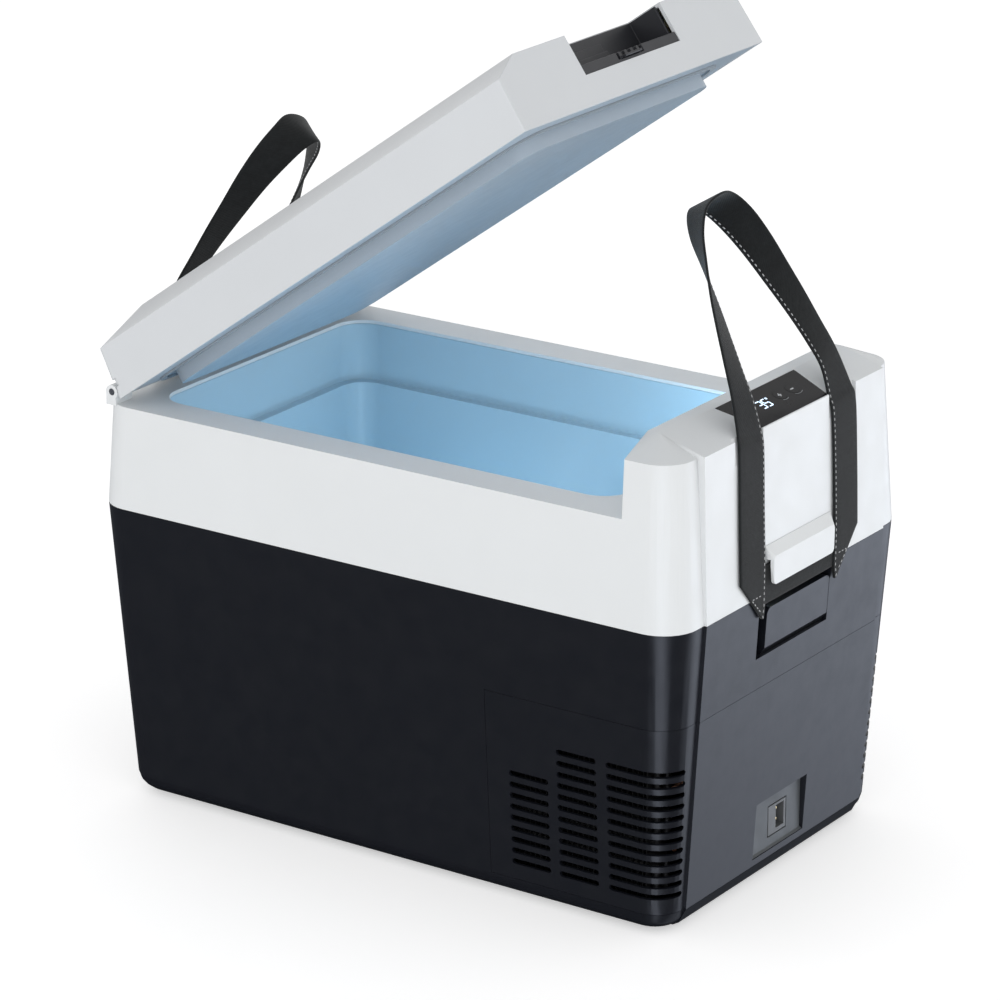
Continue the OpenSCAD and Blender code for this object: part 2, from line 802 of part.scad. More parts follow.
module lid_knuckles() {
    for (s = [-1, 1]) difference() {
        union() {
            rod_y(hinge_x, s > 0 ? 22.5 : -149.5, s > 0 ? 149.5 : -22.5, hinge_z, 5.6);
            block(hinge_x, hinge_x + 13, s > 0 ? 22.5 : -149.5, s > 0 ? 149.5 : -22.5,
                lid_z0 + 2.2, hinge_z + 10);
        }
        block(hinge_x + 13, hinge_x + 20, -180, 180, 340, 380);
    }
    block(hinge_x + 8, hinge_x + 13, -170.5, 170.5, lid_z0 + 2.2, hinge_z + 10);
}

module lid_inner_panel() {
    color("#e4e8ea") opened() difference() {
        union() {
            prism(lid_z0 + 0.4, lid_z0 + 3, -252, lid_x1 - lid_wall - 3, lid_half_w - 4.4, 6);
            prism(340, lid_z0 + 1, open_x0 + 6, open_x1 - 6, open_y - 6, open_r - 4);
        }
        prism(342.5, lid_z0 + 6, open_x0 + 8.5, open_x1 - 8.5, open_y - 8.5, open_r - 6);
        lid_seal(0.25, 0.6);
    }
}

module lid_seal(g, top) {
    difference() {
        prism(lid_z0 - 2, lid_z0 + top, open_x0 - 6 - g, open_x1 + 6 + g, open_y + 6 + g, open_r + 2);
        prism(lid_z0 - 3, lid_z0 + 2, open_x0 - 1 + g, open_x1 + 1 - g, open_y + 1 - g, open_r - 2);
    }
}

module lid_gasket() {
    color("#3b3e44") opened() intersection() {
        lid_seal(0, 0.35);
        block(-300, 300, -200, 200, rim_z + 0.35, 360);
    }
}

module lid_foam() {
    color("#ead9a6") opened() difference() {
        hull() {
            slab(lid_z0 + 3.4, -248, lid_x1 - 46, lid_half_w - 8, 6, 3);
            slab(lid_wall_z - 3, -248, lid_x1 - 46, lid_half_w - 8, 6, 3);
            slab(lid_top_z - 5, lid_bevel_x + 6, lid_x1 - 46, lid_top_half_w - 4, 3, 3);
        }
        block(-300, -247.5, -200, 200, 300, 376);
    }
}

module latch_housing() {
    x0 = lid_x1 - notch_depth + gap;
    y1 = notch_y - gap;
    color("#131416") opened() {
        difference() {
            block(x0, lid_x1 - 0.5, -y1, y1, notch_z + gap, lid_top_z - 1.2);
            block(x0 + 2.3, lid_x1 - 4, -y1 + 2.3, y1 - 2.3, notch_z + 2.6, lid_top_z + 5);
            block(lid_x1 - 5, lid_x1 + 2, -y1 - 1, y1 + 1, notch_z + lip_h, lid_top_z + 5);
            block(lid_x1 - 5, lid_x1 + 2, -18.2, 18.2, notch_z + 2.6, lid_top_z + 5);
            block(lid_x1 - 28, lid_x1 - 9, -8, 8, notch_z - 2, notch_z + 6);
        }
        // steps of the back wall, clear of the finger scoop
        block(x0 + 1, x0 + 4, -y1 + 1, 14, notch_z + 2, notch_z + 26);
        block(x0 + 1, x0 + 7, -y1 + 1, 14, notch_z + 2, notch_z + 18);
        // plate that the springs push against
        block(x0, x0 + 1.5, -16, 16, notch_z - 7, notch_z + 1);
    }
}

// Sliding catch: ribbed thumb face in the lip of the notch, bolt out of the end of the lid
module latch_slider() {
    floor_z1 = notch_z + 2.9;
    color("#1b1d20") opened() {
        block(lid_x1 - 21, lid_x1 - 3.5, -17.5, 17.5, floor_z1, floor_z1 + 2);
        block(lid_x1 - 9, lid_x1 - 3.5, -17.5, 17.5, floor_z1, notch_z + lip_h);
        for (i = [0:3]) block(lid_x1 - 4, lid_x1 - 1, -14.5 + i * 8.4, -10.7 + i * 8.4,
            floor_z1, notch_z + lip_h);
        block(lid_x1 - 5, lid_x1 + 3, -12, 12, floor_z1, floor_z1 + 2);
        block(lid_x1 - 20, lid_x1 - 12, -7, 7, notch_z - 6, floor_z1 + 1);
        block(lid_x1 - 20, lid_x1 - 11, -16, 16, notch_z - 6, notch_z - gap);
    }
}

module latch_springs() {
    color("#c4c8cb") opened() for (y = [-12, 12], i = [0:12])
        translate([lid_x1 - 33.2 + i, y, notch_z - 4]) rotate([0, 90, 0])
            rotate_extrude($fn = 32) translate([2.4, 0]) circle(0.56, $fn = 16);
}

// ---------- straps ----------

// A whole edge: one half, then its mirror image back down
function whole(half) = concat(half,
    [for (i = [len(half) - 2:-1:0]) [half[i][0], -half[i][1], half[i][2]]]);

// Smooth curve through the points
function through(p, i, t) = let (
    last = len(p) - 1,
    a = p[max(i - 1, 0)], b = p[i], c = p[min(i + 1, last)], d = p[min(i + 2, last)])
    0.5 * (2 * b + (c - a) * t + (2 * a - 5 * b + 4 * c - d) * t * t
        + (3 * b - a - 3 * c + d) * t * t * t);

function curve(half) = let (p = whole(half)) concat(
    [for (i = [0:len(p) - 2], j = [0:loop_steps - 1]) through(p, i, j / loop_steps)], [p[len(p) - 1]]);

// Webbing swept between its two edges
module strap_loop() {
    far = curve(loop_far);
    near = curve(loop_near);
    n = len(far) - 1;
    rings = [for (i = [0:n]) let (
        mid_a = far[max(i - 1, 0)] + near[max(i - 1, 0)],
        mid_b = far[min(i + 1, n)] + near[min(i + 1, n)],
        side = unit(cross(mid_b - mid_a, far[i] - near[i])) * strap_t / 2)
        [far[i] + side, far[i] - side, near[i] - side, near[i] + side]];
    points = [for (r = rings, q = r) q];
    walls = [for (i = [0:n - 1], k = [0:3]) let (
        a = 4 * i + k, b = 4 * i + (k + 1) % 4, c = b + 4, d = a + 4)
        each [[a, b, c], [a, c, d]]];
    polyhedron(points, concat([[3, 2, 1], [3, 1, 0]], walls,
        [[4 * n, 4 * n + 1, 4 * n + 2], [4 * n, 4 * n + 2, 4 * n + 3]]));
}

module strap_base_solid() {
    x = strap_x;
    translate([x, 0, 0]) rotate([90, 0, 90]) linear_extrude(strap_t)
        polygon([[-86.4, strap_z], [-57, 244], [-50, 250], [50, 250], [57, 244], [86.4, strap_z],
            [53, strap_z], [47, strap_z + 14], [-47, strap_z + 14], [-53, strap_z]]);
}

// Moulded hook that holds the cross band against the end of the body
module strap_hook_solid() {
    difference() {
        hull() {
            block(half_l + 1.4, half_l + 2, -50, 50, 301, 302);
            for (s = [-1, 1]) {
                rod_x(half_l + 1.4, half_l + 8.6, s * 43, 290, 4);
                rod_x(half_l + 4, half_l + 8.6, s * 42.5, 274, 4);
            }
        }
        block(half_l - 5, strap_x + strap_t + 0.8, -60, 60, 260, strap_z + 15);
        upper_band(1, eave_z);
    }
}

module right_strap() color("#17191b") strap_loop();
module right_strap_base() color("#17191b") strap_base_solid();
module right_strap_hook() color("#dfe2e4") strap_hook_solid();
module right_strap_tongue() color("#30343f") strap_tongue_solid();
module left_strap() color("#17191b") mirror([1, 0, 0]) strap_loop();
module left_strap_base() color("#17191b") mirror([1, 0, 0]) strap_base_solid();
module left_strap_hook() color("#dfe2e4") mirror([1, 0, 0]) strap_hook_solid();
module left_strap_tongue() color("#30343f") mirror([1, 0, 0]) strap_tongue_solid();
module power_button() roof_button(0);
module plus_button() roof_button(1);
module minus_button() roof_button(2);

lower_tub();
upper_frame();
inner_liner();
foam_insulation();
evaporator_panel();
machine_bulkhead();
machine_cover();
cover_screws();
compressor();
compressor_plate();
compressor_grommets();
compressor_bolts();
condenser();
fan_shroud();
fan_rotor();
fan_motor();
filter_drier();
suction_line();
discharge_line();
capillary_line();
electronics_module();
inlet_cable();
inlet_tray();
inlet_socket();
inlet_pins();
rubber_feet();
control_panel();
display_module();
control_board();
status_lamp();
power_button();
plus_button();
minus_button();
interior_light();
temperature_sensor();
lid_striker();
hinge_pin();
lid_cover();
lid_inner_panel();
lid_foam();
lid_gasket();
latch_housing();
latch_slider();
latch_springs();
right_strap();
right_strap_base();
right_strap_hook();
right_strap_tongue();
left_strap();
left_strap_base();
left_strap_hook();
left_strap_tongue();
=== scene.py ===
"""Portable compressor cooler: materials, webbing straps, display marks, light and camera."""
import math

import bpy
import bmesh
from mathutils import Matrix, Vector


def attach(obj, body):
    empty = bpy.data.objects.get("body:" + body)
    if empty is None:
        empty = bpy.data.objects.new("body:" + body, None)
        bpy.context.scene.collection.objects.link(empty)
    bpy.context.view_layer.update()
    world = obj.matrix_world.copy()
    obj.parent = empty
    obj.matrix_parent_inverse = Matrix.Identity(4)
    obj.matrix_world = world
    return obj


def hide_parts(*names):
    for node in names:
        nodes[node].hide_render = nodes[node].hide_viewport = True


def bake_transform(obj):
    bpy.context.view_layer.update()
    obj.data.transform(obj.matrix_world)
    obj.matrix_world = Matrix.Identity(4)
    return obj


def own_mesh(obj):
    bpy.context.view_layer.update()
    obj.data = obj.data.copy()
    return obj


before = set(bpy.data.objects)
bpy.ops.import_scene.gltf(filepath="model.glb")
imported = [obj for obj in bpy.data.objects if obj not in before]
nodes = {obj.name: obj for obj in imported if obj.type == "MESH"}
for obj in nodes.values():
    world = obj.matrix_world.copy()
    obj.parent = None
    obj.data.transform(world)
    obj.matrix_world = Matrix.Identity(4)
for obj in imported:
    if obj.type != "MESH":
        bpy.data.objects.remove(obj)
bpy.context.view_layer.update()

MM = 0.001

# ---------- camera, floor and light ----------

CAMERA_AT = (1.99942, -2.92961, 1.51656)
CAMERA_AZIMUTH = math.radians(34.289)
CAMERA_ELEVATION = math.radians(19.376)
CAMERA_LENS_MM = 163.21
SENSOR_MM = 36


def add_camera():
    data = bpy.data.cameras.new("camera")
    data.lens = CAMERA_LENS_MM
    data.sensor_width = SENSOR_MM
    data.clip_end = 200
    camera = bpy.data.objects.new("camera", data)
    flat = math.cos(CAMERA_ELEVATION)
    look = Vector((-math.sin(CAMERA_AZIMUTH) * flat, math.cos(CAMERA_AZIMUTH) * flat,
                   -math.sin(CAMERA_ELEVATION)))
    camera.location = CAMERA_AT
    camera.rotation_euler = look.to_track_quat("-Z", "Y").to_euler()
    bpy.context.scene.collection.objects.link(camera)
    bpy.context.scene.camera = camera


def add_area(name, at, target, size, watts, color=(1, 1, 1)):
    data = bpy.data.lights.new(name, "AREA")
    data.shape = "RECTANGLE"
    data.size, data.size_y = size
    data.energy = watts
    data.color = color
    light = bpy.data.objects.new(name, data)
    light.location = at
    light.rotation_euler = (Vector(target) - Vector(at)).to_track_quat("-Z", "Y").to_euler()
    bpy.context.scene.collection.objects.link(light)
    return light


def add_point(name, at, watts, color, radius):
    data = bpy.data.lights.new(name, "POINT")
    data.energy = watts
    data.color = color
    data.shadow_soft_size = radius
    light = bpy.data.objects.new(name, data)
    light.location = at
    bpy.context.scene.collection.objects.link(light)


# Brightness of the sky, and the heights of the view direction between which it dims
SKY_HORIZON = 1.10
SKY_ZENITH = 0.48
SKY_DIMS_FROM, SKY_DIMS_TO = 0.2, 0.9
# Light that only reflections see, from below the horizon: dark in front, bright behind the right end,
# and a narrow strip that the rounded front corner picks up
GROUND_FRONT = 0.10
GROUND_BACK = 2.6
GROUND_STRIP = 6.5
BACK_TOWARD = (0.56, 0.83, 0.0)
STRIP_TOWARD = (0.5, -0.866, 0.0)
GROUND_TINT = (0.86, 0.93, 1.08)
# Cosines of the angle from each heading at which its light starts and is full
BACK_EDGE, BACK_FULL = 0.80, 0.985
STRIP_EDGE, STRIP_FULL = 0.94, 0.99
# Heights of the view direction between which the ground light grows, and its factors there
GROUND_LOW, GROUND_HIGH = -0.50, -0.24
GROUND_LOW_FACTOR, GROUND_HIGH_FACTOR = 0.15, 1.6
HORIZON_BLEND = 0.04


def add_world():
    """Soft studio light: bright walls, a dimmer ceiling, and a ground that reflects from behind."""
    world = bpy.data.worlds.new("studio")
    world.use_nodes = True
    tree = world.node_tree
    background = tree.nodes["Background"]

    def map_range(value, low, high, out_low, out_high):
        node = tree.nodes.new("ShaderNodeMapRange")
        node.interpolation_type = "SMOOTHSTEP"
        for key, number in (("From Min", low), ("From Max", high),
                            ("To Min", out_low), ("To Max", out_high)):
            node.inputs[key].default_value = number
        tree.links.new(value, node.inputs["Value"])
        return node.outputs["Result"]

    direction = tree.nodes.new("ShaderNodeTexCoord").outputs["Generated"]
    height = tree.nodes.new("ShaderNodeSeparateXYZ")
    tree.links.new(direction, height.inputs[0])
    level = tree.nodes.new("ShaderNodeVectorMath")
    level.operation = "MULTIPLY"
    level.inputs[1].default_value = (1, 1, 0)
    tree.links.new(direction, level.inputs[0])
    heading = tree.nodes.new("ShaderNodeVectorMath")
    heading.operation = "NORMALIZE"
    tree.links.new(level.outputs["Vector"], heading.inputs[0])

    def cosine_to(toward):
        node = tree.nodes.new("ShaderNodeVectorMath")
        node.operation = "DOT_PRODUCT"
        node.inputs[1].default_value = toward
        tree.links.new(heading.outputs["Vector"], node.inputs[0])
        return node.outputs["Value"]

    sky = map_range(height.outputs["Z"], SKY_DIMS_FROM, SKY_DIMS_TO, SKY_HORIZON, SKY_ZENITH)
    back = map_range(cosine_to(BACK_TOWARD), BACK_EDGE, BACK_FULL, GROUND_FRONT, GROUND_BACK)
    strip = map_range(cosine_to(STRIP_TOWARD), STRIP_EDGE, STRIP_FULL, 0.0, GROUND_STRIP)
    ground = tree.nodes.new("ShaderNodeMath")
    ground.operation = "ADD"
    tree.links.new(back, ground.inputs[0])
    tree.links.new(strip, ground.inputs[1])
    deep = map_range(height.outputs["Z"], GROUND_LOW, GROUND_HIGH, GROUND_LOW_FACTOR,
                     GROUND_HIGH_FACTOR)
    faded = tree.nodes.new("ShaderNodeMath")
    faded.operation = "MULTIPLY"
    tree.links.new(ground.outputs["Value"], faded.inputs[0])
    tree.links.new(deep, faded.inputs[1])
    tinted = tree.nodes.new("ShaderNodeVectorMath")
    tinted.operation = "SCALE"
    tinted.inputs[0].default_value = GROUND_TINT
    tree.links.new(faded.outputs["Value"], tinted.inputs["Scale"])
    above = map_range(height.outputs["Z"], -HORIZON_BLEND, HORIZON_BLEND, 0.0, 1.0)
    mix = tree.nodes.new("ShaderNodeMix")
    mix.data_type = "RGBA"
    sockets = [socket for socket in mix.inputs if socket.type == "RGBA"]
    tree.links.new(tinted.outputs["Vector"], sockets[0])
    tree.links.new(sky, sockets[1])
    tree.links.new(above, mix.inputs["Factor"])
    result = [socket for socket in mix.outputs if socket.type == "RGBA"][0]
    tree.links.new(result, background.inputs["Color"])
    bpy.context.scene.world = world


FLOOR_HALF = 60
# Just below the feet, so that the two faces don't flicker
FLOOR_DROP = 0.0003


def add_floor():
    mesh = bpy.data.meshes.new("floor")
    half = FLOOR_HALF
    corners = [(-half, -half, 0), (half, -half, 0), (half, half, 0), (-half, half, 0)]
    mesh.from_pydata(corners, [], [(0, 1, 2, 3)])
    floor = bpy.data.objects.new("floor", mesh)
    floor.location.z = -FLOOR_DROP
    floor.visible_glossy = False
    bpy.context.scene.collection.objects.link(floor)
    m = Material("floor_paper", (0.86, 0.86, 0.865), 0.7)
    m.mottle(2.5, 0.015)
    m.glow((1, 1, 1), 0.48)
    m.apply(floor)


# ---------- materials ----------


class Material:
    """A Principled material with procedural colour, roughness and relief, in object or UV space."""

    def __init__(self, name, color, roughness, metallic=0.0, specular=0.5, coat=0.0, space="Object"):
        self.material = bpy.data.materials.new(name)
        self.material.use_nodes = True
        self.tree = self.material.node_tree
        self.shader = self.tree.nodes["Principled BSDF"]
        self.color = color
        self.roughness = roughness
        self.shader.inputs["Base Color"].default_value = (*color, 1)
        self.shader.inputs["Roughness"].default_value = roughness
        self.shader.inputs["Metallic"].default_value = metallic
        self.shader.inputs["Specular IOR Level"].default_value = specular
        self.shader.inputs["Coat Weight"].default_value = coat
        self.place = self.tree.nodes.new("ShaderNodeTexCoord").outputs[space]
        self.last_bump = None
        self.last_color = None

    def noise(self, scale, detail=2.0, roughness=0.5, stretch=None):
        node = self.tree.nodes.new("ShaderNodeTexNoise")
        node.inputs["Scale"].default_value = scale
        node.inputs["Detail"].default_value = detail
        node.inputs["Roughness"].default_value = roughness
        place = self.place
        if stretch:
            mapping = self.tree.nodes.new("ShaderNodeMapping")
            mapping.inputs["Scale"].default_value = stretch
            self.tree.links.new(self.place, mapping.inputs["Vector"])
            place = mapping.outputs["Vector"]
        self.tree.links.new(place, node.inputs["Vector"])
        return node.outputs["Fac"]

    def ramp(self, value, low, high, out_low, out_high):
        node = self.tree.nodes.new("ShaderNodeMapRange")
        for key, number in (("From Min", low), ("From Max", high),
                            ("To Min", out_low), ("To Max", out_high)):
            node.inputs[key].default_value = number
        self.tree.links.new(value, node.inputs["Value"])
        return node.outputs["Result"]

    def math(self, operation, a, b):
        node = self.tree.nodes.new("ShaderNodeMath")
        node.operation = operation
        for socket, value in zip(node.inputs, (a, b)):
            if isinstance(value, (int, float)):
                socket.default_value = value
            else:
                self.tree.links.new(value, socket)
        return node.outputs["Value"]

    def mix_color(self, factor, a, b):
        node = self.tree.nodes.new("ShaderNodeMix")
        node.data_type = "RGBA"
        sockets = [s for s in node.inputs if s.type == "RGBA"]
        for socket, value in zip(sockets, (a, b)):
            if isinstance(value, tuple):
                socket.default_value = (*value, 1)
            else:
                self.tree.links.new(value, socket)
        self.tree.links.new(factor, node.inputs["Factor"])
        result = [s for s in node.outputs if s.type == "RGBA"][0]
        self.tree.links.new(result, self.shader.inputs["Base Color"])
        self.last_color = result
        return result

    def mottle(self, scale, amount, stretch=None):
        """Slow change of the base colour by +-amount."""
        shade = self.ramp(self.noise(scale, 4, 0.6, stretch), 0.3, 0.7, 0, 1)
        dark = tuple(c * (1 - amount) for c in self.color)
        light = tuple(min(c * (1 + amount), 1) for c in self.color)
        self.mix_color(shade, dark, light)
        return self

    def vary_roughness(self, scale, amount, stretch=None):
        value = self.ramp(self.noise(scale, 3, 0.55, stretch), 0.3, 0.7, self.roughness - amount,
                          self.roughness + amount)
        self.tree.links.new(value, self.shader.inputs["Roughness"])
        return self

    def bump(self, height, strength, distance):
        node = self.tree.nodes.new("ShaderNodeBump")
        node.inputs["Strength"].default_value = strength
        node.inputs["Distance"].default_value = distance
        self.tree.links.new(height, node.inputs["Height"])
        if self.last_bump:
            self.tree.links.new(self.last_bump, node.inputs["Normal"])
        self.tree.links.new(node.outputs["Normal"], self.shader.inputs["Normal"])
        self.last_bump = node.outputs["Normal"]
        return self

    def grain(self, scale, strength, distance=0.0002, stretch=None):
        return self.bump(self.noise(scale, 3, 0.6, stretch), strength, distance)

    def glow(self, color, strength):
        self.shader.inputs["Emission Color"].default_value = (*color, 1)
        self.shader.inputs["Emission Strength"].default_value = strength
        return self

    def apply(self, *objects):
        for thing in objects:
            thing.data.materials.clear()
            thing.data.materials.append(self.material)
        return self


def moulded(name, color, roughness, grain=0.12, mottle=0.02):
    """Injection-moulded plastic with a fine spark-eroded texture."""
    m = Material(name, color, roughness)
    m.mottle(9, mottle)
    m.vary_roughness(55, 0.05)
    m.grain(1900, grain, 0.00015)
    m.grain(26, 0.03, 0.002)
    return m


def metal(name, color, roughness, stretch=None):
    m = Material(name, color, roughness, metallic=1.0)
    m.mottle(24, 0.07)
    m.vary_roughness(140, 0.08, stretch)
    m.grain(500, 0.1, 0.0001, stretch)
    return m


def webbing(name, color):
    """Flat woven strap: ribs run along it and across it, in the piece's own UV, in metres."""
    m = Material(name, color, 0.78, specular=0.28, space="UV")
    m.shader.inputs["Sheen Weight"].default_value = 0.18
    m.shader.inputs["Sheen Roughness"].default_value = 0.45
    split = m.tree.nodes.new("ShaderNodeSeparateXYZ")
    m.tree.links.new(m.place, split.inputs[0])
    across = m.math("SINE", m.math("MULTIPLY", split.outputs["X"], 2 * math.pi / 0.0013), 0)
    along = m.math("MULTIPLY", split.outputs["Y"], 2 * math.pi / 0.0021)
    slant = m.math("MULTIPLY", split.outputs["X"], 2 * math.pi / 0.0026)
    picks = m.math("SINE", m.math("ADD", along, slant), 0)
    weave = m.math("MULTIPLY", across, picks)
    # The colour follows the weave: painted shade in its hollows and a painted highlight on its ribs, mixed
    # with random wear
    worn = m.ramp(m.noise(90, 4, 0.6), 0.3, 0.75, 0, 1)
    shade = m.math("MULTIPLY", m.ramp(weave, -1, 1, 0.25, 1), worn)
    m.mix_color(shade, tuple(c * 0.72 for c in color), tuple(c * 1.5 for c in color))
    m.bump(weave, 0.35, 0.00025)
    m.grain(2600, 0.15, 0.00012)
    m.vary_roughness(300, 0.06)
    return m


# ---------- mesh helpers ----------


def new_object(name, mesh):
    thing = bpy.data.objects.new(name, mesh)
    bpy.context.scene.collection.objects.link(thing)
    return thing


def smooth(thing, angle=40):
    """Round shading, split at edges sharper than the angle."""
    mesh = thing.data
    mesh.polygons.foreach_set("use_smooth", [True] * len(mesh.polygons))
    mesh.set_sharp_from_angle(angle=math.radians(angle))
    mesh.update()


def soften(node, width=0.7, segments=2, angle=34):
    """Planar clean-up, a small radius on the sharp edges and flat-looking large faces."""
    thing = nodes[node]
    mesh = thing.data
    mesh.polygons.foreach_set("use_smooth", [True] * len(mesh.polygons))
    clean = thing.modifiers.new("clean", "DECIMATE")
    clean.decimate_type = "DISSOLVE"
    clean.angle_limit = math.radians(0.6)
    weld = thing.modifiers.new("weld", "WELD")
    weld.merge_threshold = 0.00002
    bevel = thing.modifiers.new("radius", "BEVEL")
    bevel.width = width * MM
    bevel.segments = segments
    bevel.limit_method = "ANGLE"
    bevel.angle_limit = math.radians(angle)
    bevel.use_clamp_overlap = True
    bevel.miter_outer = "MITER_ARC"
    shade = thing.modifiers.new("shade", "WEIGHTED_NORMAL")
    shade.mode = "FACE_AREA"
    shade.weight = 90
    shade.keep_sharp = True


def even(node, angle=30):
    """Round shading across the seams between a node's faces, with its sharp edges kept."""
    thing = nodes[node]
    weld = thing.modifiers.new("weld", "WELD")
    weld.merge_threshold = 0.00002
    split = thing.modifiers.new("split", "EDGE_SPLIT")
    split.split_angle = math.radians(angle)
    split.use_edge_sharp = False
    shade = thing.modifiers.new("shade", "WEIGHTED_NORMAL")
    shade.mode = "FACE_AREA"
    shade.weight = 100


# ---------- webbing straps ----------

STRAP_THICK = 2.2 * MM
STRAP_X = 289.9
LEG_INNER_Y = 53.0
LEG_OUTER_Y = 91.0
# Each leg ends in a pointed foot that is sewn to the cross band below it
FOOT_TIP_Z = 244.0
FOOT_TOP_Z = 281.0
FOOT_TIP_OUTER_Y = 57.5
# How far the tip of the foot steps out from the leg's inner edge
FOOT_TIP_STEP = 2.2
# The cross band behind the feet: its half length, height, thickness and place in X
CROSS_BAND_HALF = 57.0
CROSS_BAND_LOW_Z = 254.0
CROSS_BAND_HIGH_Z = 288.0
CROSS_BAND_THICK = 1.6 * MM
CROSS_BAND_BEHIND = 1.1
CROSS_BAND_STEPS = 12
# The seam that sews each foot down: its outer end, and the inner ends of its two rows
SEAM_START = (74.0, 264.5)
SEAM_ENDS = ((58.5, 249.0), (57.0, 264.5))
STITCH_INSET = 2.6
# Edges of half a carry loop in millimetres, from the top of the foot up to the middle
LOOP_FAR = [(STRAP_X, 91, 281), (289.7, 91, 290), (288.1, 91, 335), (285.9, 90, 386), (282.3, 86.5, 401),
            (272, 79.6, 430), (260.2, 72.4, 455), (249.4, 65.7, 478), (239, 58.2, 500), (228.6, 48.5, 524),
            (218.8, 37.3, 545), (212.6, 21, 560.5), (213.8, 0, 567)]
LOOP_NEAR = [(STRAP_X, 53, 281), (289.7, 53, 290), (288.1, 53, 335), (285.9, 52, 383), (283, 51, 396),
             (275.6, 51.2, 420), (265, 48.6, 438), (250, 42.9, 461), (232.4, 35.5, 486), (213.6, 28.5, 511),
             (197.6, 21.5, 530), (187.4, 11.5, 543), (183, 0, 548)]
# Places across a ribbon and its half thickness there, as shares of its width and thickness
RIBBON_PROFILE = [(0.0, 0.12), (0.012, 0.6), (0.035, 0.9), (0.07, 1.0), (0.25, 1.0), (0.5, 1.0),
                  (0.75, 1.0), (0.93, 1.0), (0.965, 0.9), (0.988, 0.6), (1.0, 0.12)]


def through(points, steps):
    """Smooth curve through the points."""
    out = []
    last = len(points) - 1
    for i in range(last):
        a, b, c, d = (points[max(i - 1, 0)], points[i], points[i + 1], points[min(i + 2, last)])
        for j in range(steps):
            t = j / steps
            out.append(0.5 * (2 * b + (c - a) * t + (2 * a - 5 * b + 4 * c - d) * t * t
                              + (3 * b - a - 3 * c + d) * t ** 3))
    out.append(points[last])
    return out


def flip_y(points):
    return [Vector((p.x, -p.y, p.z)) for p in reversed(points)]


def loop_edge(half, side, steps=8):
    """A whole edge of a carry loop, +Y leg first, on the side +1 or -1 of the body."""
    up = [Vector((side * x, y, z)) * MM for x, y, z in half]
    return through(up + flip_y(up[:-1]), steps)


def foot_edges(side, top_z, steps=14):
    """Outer and inner edge of the foot of the +Y leg, from its tip up to a height."""
    outer, inner = [], []
    for k in range(steps + 1):
        z = FOOT_TIP_Z + (top_z - FOOT_TIP_Z) * k / steps
        share = (z - FOOT_TIP_Z) / (FOOT_TOP_Z - FOOT_TIP_Z)
        outer_y = FOOT_TIP_OUTER_Y + (LEG_OUTER_Y - FOOT_TIP_OUTER_Y) * share
        inner_y = LEG_INNER_Y + FOOT_TIP_STEP * max(1 - share * 4, 0)
        outer.append(Vector((side * STRAP_X, outer_y, z)) * MM)
        inner.append(Vector((side * STRAP_X, inner_y, z)) * MM)
    return outer, inner


def sweep_webbing(name, far, near, thick=STRAP_THICK):
    """Ribbon between two edges with rounded selvedges, and a UV map in metres."""
    bm = bmesh.new()
    uv = bm.loops.layers.uv.new("weave")
    rings = []
    length = 0.0
    frames = []
    for i in range(len(far)):
        a, b = max(i - 1, 0), min(i + 1, len(far) - 1)
        forward = (far[b] + near[b]) - (far[a] + near[a])
        normal = forward.cross(far[i] - near[i]).normalized()
        if i:
            length += ((far[i] + near[i]) - (far[i - 1] + near[i - 1])).length / 2
        frames.append((near[i], far[i], normal, length))
    outline = RIBBON_PROFILE + [(s, -t) for s, t in reversed(RIBBON_PROFILE)]
    for low, high, normal, at in frames:
        wide = (high - low).length
        rings.append([(bm.verts.new(low.lerp(high, s) + normal * (t * thick / 2)), s * wide, at)
                      for s, t in outline])
    count = len(outline)
    for one, two in zip(rings, rings[1:]):
        for k in range(count):
            n = (k + 1) % count
            face = bm.faces.new((one[k][0], one[n][0], two[n][0], two[k][0]))
            for loop, (_, u, v) in zip(face.loops, (one[k], one[n], two[n], two[k])):
                loop[uv].uv = (u, v)
    for ring, flip in ((rings[0], False), (rings[-1], True)):
        verts = [v for v, _, _ in ring]
        bm.faces.new(verts if flip else verts[::-1])
    bmesh.ops.recalc_face_normals(bm, faces=bm.faces)
    mesh = bpy.data.meshes.new(name)
    bm.to_mesh(mesh)
    bm.free()
    thing = new_object(name, mesh)
    smooth(thing, 50)
    return thing, frames


def stitch_rows(name, rows, length=2.9, pitch=4.9, width=1.0, height=0.6):
    """Short raised thread dashes along rows of (point, normal), in metres."""
    bm = bmesh.new()
    for row in rows:
        travelled = 0.0
        next_at = pitch * MM / 2
        for (p, n), (q, _) in zip(row, row[1:]):
            step = (q - p).length
            while next_at < travelled + step:
                t = (next_at - travelled) / step
                add_stitch(bm, p.lerp(q, t), (q - p).normalized(), n, length * MM, width * MM, height * MM)
                next_at += pitch * MM
            travelled += step
    mesh = bpy.data.meshes.new(name)
    bm.to_mesh(mesh)
    bm.free()
    thing = new_object(name, mesh)
    smooth(thing, 60)
    return thing


def add_stitch(bm, at, along, normal, length, width, height):
    """One lens-shaped thread dash, dipping into the cloth at both ends."""
    across = normal.cross(along).normalized()
    rings = []
    for s in (-1, -0.72, -0.3, 0.3, 0.72, 1):
        full = math.sqrt(max(1 - abs(s) ** 3, 0.03))
        centre = at + along * (s * length / 2) + normal * (height * (full - 0.75) * 0.5)
        rings.append([bm.verts.new(centre + across * (math.cos(a) * width / 2 * full)
                                   + normal * (math.sin(a) * height / 2 * full))
                      for a in (math.tau * k / 6 for k in range(6))])
    for one, two in zip(rings, rings[1:]):
        for k in range(6):
            bm.faces.new((one[k], one[(k + 1) % 6], two[(k + 1) % 6], two[k]))
    bm.faces.new(rings[0][::-1])
    bm.faces.new(rings[-1])


